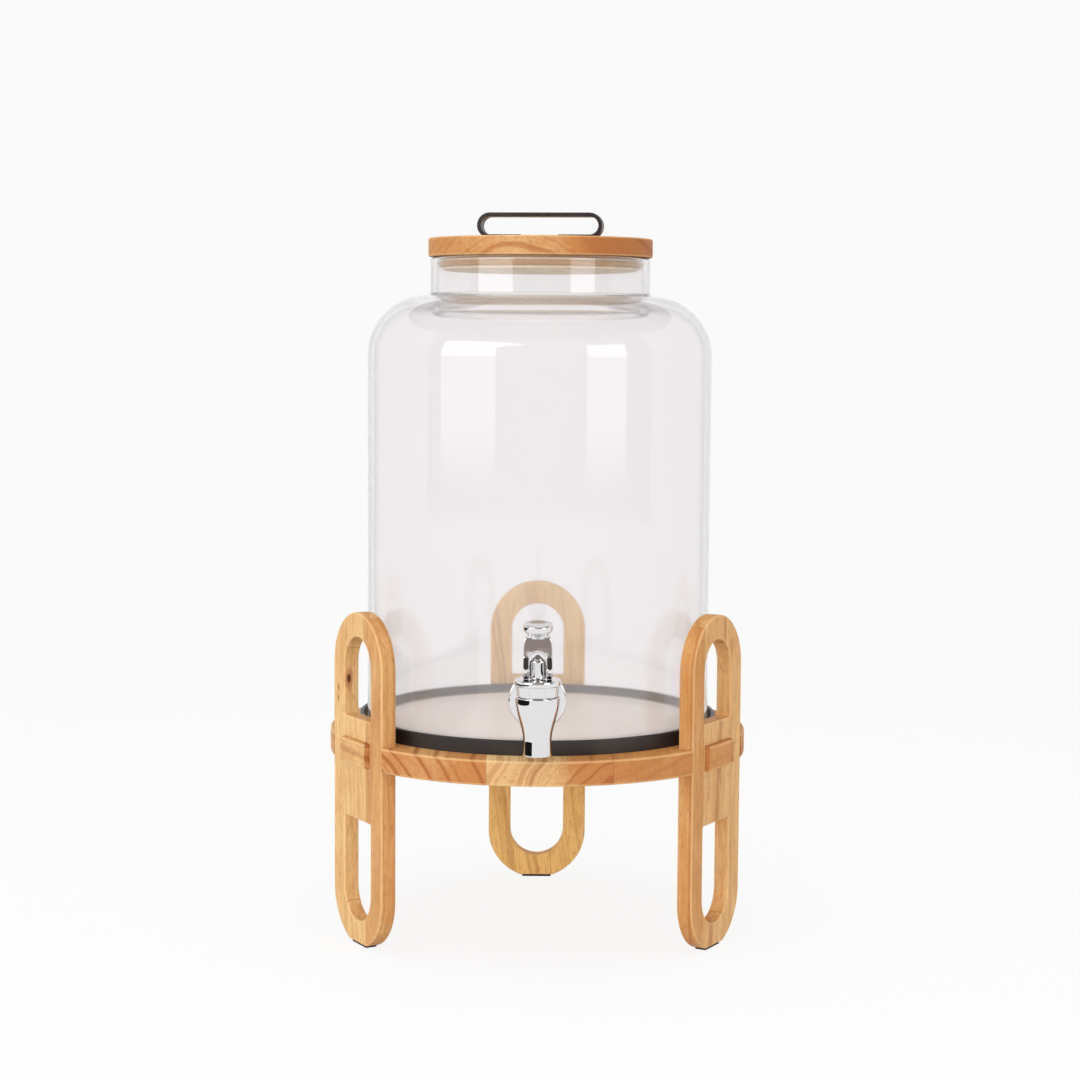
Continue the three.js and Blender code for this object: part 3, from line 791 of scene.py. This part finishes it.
def makeTapBody(v):
    (waist, low), high = v.waist, v.barrelTop / 2
    steps = [i / 24 for i in range(25)]
    flare = [(waist + (v.barrel - waist) * (t * t * (3 - 2 * t)), low + (high - low) * t) for t in steps]
    collar, top = v.collar
    outside = eased([(0, v.tip), (v.spout, v.tip, 0.8)] + flare + [
        (v.barrel, v.barrelTop, 0.5), (collar, v.barrelTop), (collar, top, 0.4), (0, top),
    ], 5)
    made = objectOf("tap_body_chrome", turned(outside, 96), onTap)
    # What lies down is drawn outwards from the jar, which is towards -Y.
    radius, back, front = v.flange[0], v.flange[1] - v.reach, v.flange[2] - v.reach
    neck = [(0, front - 0.5 * mm), (v.neck + 2.5 * mm, front - 0.5 * mm)]
    neck += arcOf(v.neck + 2 * mm, front + 2 * mm, 2 * mm, 270, 180, 8)
    wide = v.neck + 1.5 * mm
    neck += arcOf(wide, -v.barrel + 0.4 * mm, 1.5 * mm, 180, 90, 6) + [(wide, -7 * mm), (0, -7 * mm)]
    carve(made, laid(neck, 72), "UNION")
    flange = eased([
        (0, back), (radius, back, 0.4), (radius, front - 0.2 * mm, 1.3),
        (v.neck + 1.6 * mm, front), (0, front),
    ], 6)
    carve(made, laid(flange, 96), "UNION")
    shank, start = v.shank[0], v.shank[1] - v.reach
    root, end, turns = shank - 0.7 * mm, back + 0.6 * mm, 11
    thread = [(0, start), (shank - 0.9 * mm, start)]
    for i in range(turns):
        here = start + 0.5 * mm + i * v.thread
        thread += [(root, here), (shank, here + 0.5 * mm), (shank, here + v.threadTop)]
    thread += [(root, start + 0.8 * mm + turns * v.thread), (root, end), (0, end)]
    carve(made, laid(thread, 72), "UNION")
    (wide, seat), low, top = v.chamber, v.tip - 4 * mm, top + 4 * mm
    carve(made, turned([(0, low), (v.bore, low), (v.bore, seat), (wide, seat), (wide, top), (0, top)], 72))
    carve(made, turnTo(rod(v.channel, start - 4 * mm, 0, 48), 90, "X"))
    dress(made, chrome, "jar", "tap_body")


bonnet = inMetres({
    "bottom": 6.3, "top": 15.5, "band": 11.4, "taper": 0.3, "rim": 12.8, "rimHeight": 3.5,
    "inside": 10.2, "springSeat": 11.8, "hole": 2.9, "grooveDepth": 0.3,
}, grooves=8)


def makeBonnet(v):
    rimBottom = v.top - v.rimHeight
    profile = eased([
        (v.inside, v.bottom), (v.band - v.taper, v.bottom, 0.5), (v.band, rimBottom, 0.25),
        (v.rim, rimBottom + 0.5 * mm, 0.5), (v.rim, v.top, 1.1), (v.hole, v.top, 0.3),
        (v.hole, v.springSeat), (v.inside, v.springSeat),
    ], 5)

    def grooved(radius, height, angle):
        if v.inside + 0.5 * mm < radius < v.band + 0.05 * mm and height < rimBottom - 0.2 * mm:
            turn = (angle * v.grooves / (2 * pi)) % 1 - 0.5
            radius -= v.grooveDepth * exp(-((turn / 0.035) ** 2))
        return radius, height

    made = objectOf("tap_bonnet_chrome", turned(profile, 320, closed=True, wobble=grooved), onTap)
    dress(made, chrome, "jar", "tap_bonnet")


stem = inMetres({"radius": 2.6, "bottom": -2.6, "head": 4.4, "headBottom": 15.8, "headTop": 29})
pin = inMetres({"height": 21.8, "radius": 1.25, "half": 8, "hole": 1.4})


def makeStem(v):
    profile = eased([
        (0, v.bottom), (v.radius, v.bottom, 0.4), (v.radius, v.headBottom),
        (v.head, v.headBottom, 0.5), (v.head, v.headTop - 3.5 * mm, 0.8),
        (1 * mm, v.headTop - 0.35 * mm, 0.8), (0, v.headTop),
    ], 6)
    made = objectOf("tap_stem_chrome", turned(profile, 72), onTap)
    hole = turnTo(rod(pin.hole, -pin.half, pin.half, 40), 90, "Y")
    carve(made, moveTo(hole, 0, 0, pin.height))
    dress(made, chrome, "valve", "tap_stem")


def makePin(v):
    angles = (0.4, 0.8, 1.2, 1.57)
    profile = [(0, -v.half)] + [(v.radius * sin(a), -v.half + 0.5 * mm * (1 - cos(a))) for a in angles]
    profile += [(r, -z) for r, z in reversed(profile)]
    shape = turnTo(turned(profile, 40), 90, "Y")
    made = objectOf("lever_pin_steel", moveTo(shape, 0, 0, v.height), onTap)
    dress(made, nutSteel, "valve", "lever_pin")


cup = inMetres({
    "bottom": -5.4, "height": 7.4, "radius": 7.3, "topRadius": 6.7, "pocket": 2.9, "floor": 2.5,
})


def makeSeatCup(v):
    top = v.bottom + v.height
    profile = eased([
        (0, v.bottom), (v.radius, v.bottom, 0.9), (v.radius, v.bottom + v.height / 2, 0.8),
        (v.topRadius, top, 0.6), (v.pocket, top, 0.3), (v.pocket, v.bottom + v.floor),
        (0, v.bottom + v.floor),
    ], 4)
    made = objectOf("seat_cup_silicone", turned(profile, 72), onTap)
    dress(made, milkySilicone, "valve", "seat_cup")


spring = inMetres({"wire": 0.45, "radius": 5.3, "low": 2.3, "high": 11.5, "lift": 3}, turns=4.5)


def makeSpring(v):
    steps, sides = int(v.turns * 36), 12
    low, high = v.low + v.wire, v.high - v.wire
    rings = []
    for i in range(steps + 1):
        share = i / steps
        angle = 2 * pi * v.turns * share
        outward = Vector((cos(angle), sin(angle), 0))
        middle = outward * v.radius + Vector((0, 0, low + (high - low) * share))
        around = [2 * pi * k / sides for k in range(sides)]
        rings.append([middle + v.wire * (outward * cos(a) + Vector((0, 0, sin(a)))) for a in around])
    made = objectOf("valve_spring_wire", tube(rings), onTap)
    dress(made, nutSteel, "valve", "valve_spring", flats=False)
    anchor = onTap @ Vector((0, 0, v.low))
    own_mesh(made)


lever = inMetres({
    "half": 8, "neckHalf": 7.3, "gap": 4.7,
    "archMiddle": 4, "heel": -6, "top": 17.2, "shoulder": 12.2, "padStart": 16.4,  # above the pin
}, ease=1, padTilt=8, front=[  # heights from the pin and how far in front of it, in millimetres
    (-6, -2.29), (-5.2, -4.6), (-3.8, -6.9), (-2, -8.5), (-0.12, -9.28), (1.2, -8.4), (6, -4.5), (17.2, -4),
], back=[(-6, 4.5), (6, 4.5), (17.2, 4)], pad=[
    (0, 0), (5.2, 0, 0.3), (6.3, 2.4, 1.2), (8.2, 4.3, 0.7), (8.2, 7.5, 0.9), (6.9, 7.5, 0.5),
    (4.2, 6.5, 1.6), (0, 6.3),
])


def along(stops, height):  # straight between the stops, which are in millimetres
    height = height / mm
    for (z0, y0), (z1, y1) in zip(stops, stops[1:]):
        if height <= z1:
            return (y0 + (y1 - y0) * max(0.0, (height - z0) / (z1 - z0))) * mm
    return stops[-1][1] * mm


def makeLever(v):
    half, gap, middle = v.half, v.gap, v.archMiddle

    def outerReach(angle):
        c, s = abs(cos(angle)), max(sin(angle), 1e-6)
        slope = (half - v.neckHalf) / (v.top - v.shoulder)
        lean = (half + slope * (v.shoulder - middle)) / (c + slope * s)
        reaches = (half / max(c, 1e-6), (v.top - middle) / s, lean)
        power = 14  # the higher, the squarer
        return sum(reach ** -power for reach in reaches) ** (-1 / power)

    rise = 0.45 * mm  # within which the heel's edges are rounded
    low = v.heel + rise
    heights = [v.heel, v.heel + 0.12 * mm] + [low + (middle - v.heel - rise) * i / 22 for i in range(22)]
    prong = [((gap, z), (half, z), inset) for z, inset in zip(heights, [rise, 0.14 * mm] + [0] * 22)]
    stations = [((-ix, iz), (-ox, oz), inset) for (ix, iz), (ox, oz), inset in prong]
    for i in range(49):
        angle = pi * (1 - i / 48)
        inside, outside = [(r * cos(angle), middle + r * sin(angle)) for r in (gap, outerReach(angle))]
        stations.append((inside, outside, 0))
    rings = []
    for (ix, iz), (ox, oz), inset in stations + prong[::-1]:
        width = hypot(ox - ix, oz - iz)
        points = []
        front, back = along(v.front, (iz + oz) / 2), along(v.back, (iz + oz) / 2)
        near, far = (front + inset, v.ease), (back - inset, v.ease)
        outline = eased([(inset, *near), (width - inset, *near), (width - inset, *far), (inset, *far)], 6)
        for across, y in outline:
            share = across / width
            x, z = ix + (ox - ix) * share, iz + (oz - iz) * share
            # Each point keeps its distance from the front or the back at its own height.
            y += along(v.front, z) - front if y < (front + back) / 2 else along(v.back, z) - back
            points.append((x, y, z))
        rings.append(points)
    place = onTap @ at((0, 0, pin.height))
    made = objectOf("tap_lever_chrome", tube(rings), place, sharpAngle=40)
    pad = turned(eased([(x * mm, y * mm, *ease) for x, y, *ease in v.pad], 6), 96)
    turnTo(pad, v.padTilt, "X")
    carve(made, moveTo(pad, 0, 0, v.padStart), "UNION", 40)
    carve(made, turnTo(rod(pin.hole, -12 * mm, 12 * mm, 40), 90, "Y"), sharpAngle=40)
    dress(made, chrome, "lever", "tap_lever")


fixings = inMetres({
    # radius, and from and to outwards from the jar's axis
    "outerWasher": (15, 96, 103.5), "innerWasher": (14, 94.3, 101), "nut": (14.5, 87, 94),
    "hole": 8.3, "jarOutside": 101, "jarInside": 96.8,
})


def makeFixings(v):
    place = onAxis @ at((0, 0, tap.height))
    for name, (radius, near, far), wall, operation in (
        ("outer_washer", v.outerWasher, v.jarOutside, "DIFFERENCE"),
        ("inner_washer", v.innerWasher, v.jarInside, "INTERSECT"),
    ):
        edge = 0.5
        profile = eased([(v.hole, near), (radius, near, edge), (radius, far, edge), (v.hole, far)], 5)
        made = objectOf(name + "_silicone", laid(profile, 96, closed=True), place)
        carve(made, rod(wall, -30 * mm, 30 * mm, 384), operation)
        dress(made, milkySilicone, "jar", name)
    radius, near, far = v.nut
    flat, outer, chamfer = radius * cos(pi / 6), radius + 0.2 * mm, 0.9 * mm
    hexagon = turnTo(rod(radius, near, far, 6), 90, "Z")
    nut = objectOf("tap_nut_steel", turnTo(hexagon, 90, "X"), place)
    around = [(0, near), (flat, near), (outer, near + chamfer), (outer, far - chamfer), (flat, far), (0, far)]
    carve(nut, laid(around, 96), "INTERSECT")
    hole, wide, low, high = v.hole, v.hole + 3.8 * mm, near - 3 * mm, far + 3 * mm
    bore = [(0, low), (wide, low), (hole, near + 0.8 * mm), (hole, far - 0.8 * mm), (wide, high), (0, high)]
    carve(nut, laid(bore, 96))
    dress(nut, nutSteel, "jar", "tap_nut")


makeJar(jar)
print("jar made")
makeTapBody(tap)
makeBonnet(bonnet)
makeStem(stem)
makePin(pin)
makeSeatCup(cup)
makeSpring(spring)
makeLever(lever)
makeFixings(fixings)
print("tap made")


# Lid, drawn from the underside of its top board

lid = inMetres({
    "bottom": 394.2, "radius": 65.4, "thickness": 10.7,
    "plug": 57, "plugTop": -0.3, "plugBottom": -7.3,
    "groove": (55.4, -5.9, -2.7),  # radius, from and to
    "seal": (55.7, 60.2, -5.6, -3.0), "sealLip": 0.8,
    "screwPlace": 20.05, "screwHole": 2.3, "screwRecess": (4.2, -4.4),
}, ease=1, turn=-6)
onLid = onAxis @ at((0, 0, lid.bottom)) @ turnBy(lid.turn)

lidStrips = stripsOf((1000, -5.5, -39, 0, 0.08, 0.85, 7.7))
# The lid darkens towards its left end and strongly across its right third; the right third is partly darker
# figure and partly painted shade on the side turned away from the main light.
lidToneAndShade = [(-14, -40, 0.24), (14, 44, 1.3)]
# the plug's pale tone is painted light, as is its paler wood
plugStrips = stripsOf((1000, 12, 60, 0.1, -0.5, 0.12, 8.9))


def screwHoles(piece, radius, bottom, top):
    for side in (-1, 1):
        carve(piece, moveTo(rod(radius, bottom, top, 48), side * lid.screwPlace, 0, 0))


def makeLidWood(v):
    profile = eased([(0, 0), (v.radius, 0, v.ease), (v.radius, v.thickness, v.ease), (0, v.thickness)], 6)
    top = objectOf("lid_top_wood", turned(profile, 200), onLid)
    screwHoles(top, v.screwHole, -4 * mm, v.thickness + 4 * mm)
    markEdgeSheen(top, 2)
    finish = woodFinish("oiledLid", boardWood, lidStrips, 5.2, shades=lidToneAndShade)
    dress(top, finish, "lid", "lid_top")
    low, high, ease = v.plugBottom, v.plugTop, 0.3
    groove, grooveLow, grooveHigh = v.groove
    profile = eased([
        (0, low), (v.plug, low, 0.6), (v.plug, grooveLow, ease), (groove, grooveLow),
        (groove, grooveHigh), (v.plug, grooveHigh, ease), (v.plug, high, ease), (0, high),
    ], 4)
    plug = objectOf("lid_plug_wood", turned(profile, 200), onLid)
    screwHoles(plug, v.screwHole, low - 4 * mm, high + 4 * mm)
    screwHoles(plug, v.screwRecess[0], low - 4 * mm, v.screwRecess[1])
    markEdgeSheen(plug, 2)
    dress(plug, woodFinish("oiledPlug", litPlugWood, plugStrips, 6.4), "lid", "lid_plug")


def makeSeal(v):
    inside, outside, low, high = v.seal
    middle, shy = (low + high) / 2, outside - v.sealLip
    profile = eased([
        (inside, low, 0.2), (shy, low, 0.4), (outside, middle - 0.1 * mm, 0.25),
        (outside, middle + 0.1 * mm, 0.25), (shy, high, 0.4), (inside, high, 0.2),
    ], 4)
    made = objectOf("lid_seal_silicone", turned(profile, 256, closed=True), onLid)
    dress(made, tanSilicone, "lid", "lid_seal")


handle = inMetres({
    "bottom": 11,  # above the lid's underside
    "length": 73, "height": 14.8, "width": 16, "strap": 2.2, "foot": 11,
}, ease=0.4)


def makeHandle(v):
    end = v.height / 2
    straight = v.length / 2 - end
    bend, foot = end - v.strap, v.foot
    outer = arcOf(straight, end, end, -90, 90, 32) + arcOf(-straight, end, end, 90, 270, 32)
    inner = arcOf(-straight, end, bend, 270, 90, 32) + arcOf(straight, end, bend, 90, -90, 32)
    outline = eased([(foot, 0, 0.5)] + outer)
    outline += [(-foot, 0), (-foot, v.strap)] + inner + [(foot, v.strap)]
    shape = turnTo(plate([outline], v.width, v.ease), 90, "X")
    made = objectOf("lid_handle_steel", moveTo(shape, 0, 0, v.bottom), onLid)
    screwHoles(made, lid.screwHole, v.bottom - 4 * mm, v.bottom + v.strap + 0.3 * mm)
    dress(made, blackSteel, "lid", "lid_handle")


screw = inMetres({
    "radius": 2, "head": 3.9, "headHeight": 2.6, "top": 13.2, "thread": 0.7,
    "cross": (0.9, 4.6, 1.3),  # width, length and depth
})


def makeScrews(v):
    low = lid.plugBottom
    headTop = low + v.headHeight
    profile = [(0, low), (v.head * 0.5, low + 0.06 * mm), (v.head * 0.8, low + 0.4 * mm)]
    profile += [(v.head, low + 1.3 * mm), (v.head, headTop), (v.radius, headTop)]
    for i in range(int((v.top - headTop - 1 * mm) / v.thread)):
        start = headTop + 0.4 * mm + i * v.thread
        profile += [(v.radius - 0.3 * mm, start), (v.radius, start + 0.3 * mm)]
    profile += [(v.radius - 0.4 * mm, v.top), (0, v.top)]
    for name, side in (("left", -1), ("right", 1)):
        place = onLid @ at((side * lid.screwPlace, 0, 0))
        made = objectOf("handle_screw_" + name + "_steel", turned(profile, 48), place)
        width, length, depth = v.cross
        for across, deep in ((width, length), (length, width)):
            carve(made, block((-across / 2, -deep / 2, low - 2 * mm), (across / 2, deep / 2, low + depth)))
        dress(made, nutSteel, "lid", "handle_screw_" + name)


makeLidWood(lid)
makeSeal(lid)
makeHandle(handle)
makeScrews(screw)
print("lid made")


# Studio

studio = Values({
    "floorSize": 30,
    "backdrop": 0.956,  # what the floor and the world show to the camera, in gloss and through glass
    "floorShare": 0.12,  # how much of the light and shade the floor shows
    "floorLight": 0.75,  # what falls on the floor beside the part
    "shareEnds": (0.5, 1.6),  # distances from the part where the floor fades to the plain backdrop
    "ambient": 0.6,
    # direction from the part (degrees from the camera's side, and up), distance, width, height, brightness
    "windows": [
        (-46, 10, 1.5, 1.05, 0.8, 2.3),
        (46, 12, 1.5, 0.66, 0.8, 1.5),
        (0, 6, 2.4, 1.8, 0.9, 2.15),
        (-20, 78, 1.6, 1.3, 1.3, 1.7),
    ],
    "middle": (0, 0, 0.24),
    "tap": (0, -0.12, 0.155),
    # cards that only gloss sees: aimed at, distance, brightness, the degrees up between which they come out
    # of the room's colour, and corners (degrees round, degrees up)
    "cards": [
        ("middle", 1.5, 2.1, (-3.2, 0.5), [(-66, -4), (-28, -4), (-28, 21), (-8, 27), (-66, 27)]),
        ("middle", 1.5, 2.1, (-3.4, 0.5), [(30, -4), (57, -4), (57, 25), (30, 25)]),
        ("middle", 1.28, 4.2, (4.9, 6.6), [(-66, 5), (-28, 5), (-28, 21), (-8, 27), (-66, 27)]),
        ("middle", 1.28, 4.2, (4.9, 6.6), [(31, 5), (57, 5), (57, 25), (31, 25)]),
        ("tap", 0.9, 0.01, (-11, -10), [(-122, -9.5), (-42, -9.5), (-42, -5), (-122, -5)]),
    ],
    "ceiling": (1.1, 0.4, 1.15, (0.06, 0.052, 0.048)),  # height, radius of its opening, radius, colour
    # the room beyond the table, behind the camera: from and to (degrees round and up), distance, colour
    "room": (-80, 80, -4.5, 40, 3, (0.33, 0.265, 0.24)),
})


def towards(azimuth, elevation):
    a, e = radians(azimuth), radians(elevation)
    return Vector((sin(a) * cos(e), -cos(a) * cos(e), sin(e)))


def seenPlainly(f):  # 1 for the camera, in gloss and through glass, 0 for the light that falls on the part
    kinds = ("Camera", "Glossy", "Transmission")
    rays = [f.node("ShaderNodeLightPath", output="Is %s Ray" % kind) for kind in kinds]
    return f.node("ShaderNodeMath", {"operation": "MINIMUM"}, (rays[0] + rays[1] + rays[2], 1.0))


def makeFloor(v):
    shape = bmesh.new()
    bmesh.ops.create_grid(shape, x_segments=1, y_segments=1, size=v.floorSize / 2)
    made = objectOf("floor", shape)
    f = Finish("palePaper", {})
    f.tree.nodes.remove(f.shader)
    own = f.own()
    tooth = f.cloud(own, 900, 3)
    paper = f.node("ShaderNodeBsdfDiffuse", sockets=(f.blend(tooth, (0.8,) * 3, (0.84,) * 3),))
    away = f.node("ShaderNodeVectorMath", {"operation": "LENGTH"}, (own,), output=1)
    near = f.fade(away, v.shareEnds[1], v.shareEnds[0])
    share = f.node("ShaderNodeBsdfDiffuse", sockets=((v.floorShare,) * 3 + (1,),))
    strength = v.backdrop - v.floorLight * v.floorShare
    glow, plain = [f.node("ShaderNodeEmission", sockets=((1, 1, 1, 1), s)) for s in (strength, v.backdrop)]
    lit = f.node("ShaderNodeAddShader", sockets=(glow, share))
    shown = f.node("ShaderNodeMixShader", sockets=(near, plain, lit))
    f.show(f.node("ShaderNodeMixShader", sockets=(seenPlainly(f), paper, shown)))
    made.data.materials.append(f.material)


def makeWorld(v):
    world = bpy.context.scene.world = bpy.data.worlds.new("surroundings")
    f = Finish("", {"Color": (1, 1, 1, 1)}, world)
    f.feed({"Strength": seenPlainly(f) * (v.backdrop - v.ambient) + v.ambient})


def makeWindows(v):
    for i, (azimuth, elevation, distance, width, height, brightness) in enumerate(v.windows):
        light = bpy.data.lights.new("window%d" % i, "AREA")
        light.shape = "RECTANGLE"
        light.size, light.size_y = width, height
        light.cycles.use_multiple_importance_sampling = False  # which would lose light behind the glass
        light.energy = brightness * pi * width * height
        away = towards(azimuth, elevation)
        turn = away.to_track_quat("Z", "Y").to_matrix().to_4x4()
        made = addObject(light.name, light, at(Vector(v.middle) + away * distance) @ turn)
        made.visible_glossy = made.visible_transmission = False


def glossOnly(name, shape, place, colour, rises=None, base=None):
    made = objectOf(name, shape, at(place))
    f = Finish(name, {
        "Base Color": (0, 0, 0, 1), "Specular IOR Level": 0,
        "Emission Strength": 1, "Emission Color": (*colour, 1),
    })
    if rises:
        f.feed({"Emission Color": f.blend(f.fade(f.split(f.own())[2], *rises), base, colour)})
    made.data.materials.append(f.material)
    made.visible_camera = made.visible_shadow = made.visible_diffuse = made.visible_transmission = False


def makeCards(v):
    for i, (aim, distance, grey, rise, corners) in enumerate(v.cards):
        shape = bmesh.new()
        shape.faces.new([shape.verts.new(towards(*corner) * distance) for corner in corners])
        heights = [towards(0, elevation).z * distance for elevation in rise]
        glossOnly("card%d" % i, shape, v[aim], (grey,) * 3, heights, v.room[-1])
    left, right, low, high, distance, colour = v.room
    shape = bmesh.new()
    rows = []
    rises = [Vector((0, 0, distance * tan(radians(elevation)))) for elevation in (low, high)]
    for i in range(25):
        place = towards(left + (right - left) * i / 24, 0) * distance
        rows.append([shape.verts.new(place + rise) for rise in rises])
    for first, second in zip(rows, rows[1:]):
        shape.faces.new((first[0], second[0], second[1], first[1]))
    glossOnly("room", shape, v.tap, colour)
    height, opening, radius, colour = v.ceiling
    glossOnly("ceiling", turned([(opening, 0), (radius, 0)], 48), (0, 0, height), colour)


makeFloor(studio)
makeWorld(studio)
makeWindows(studio)
makeCards(studio)
print("studio made")
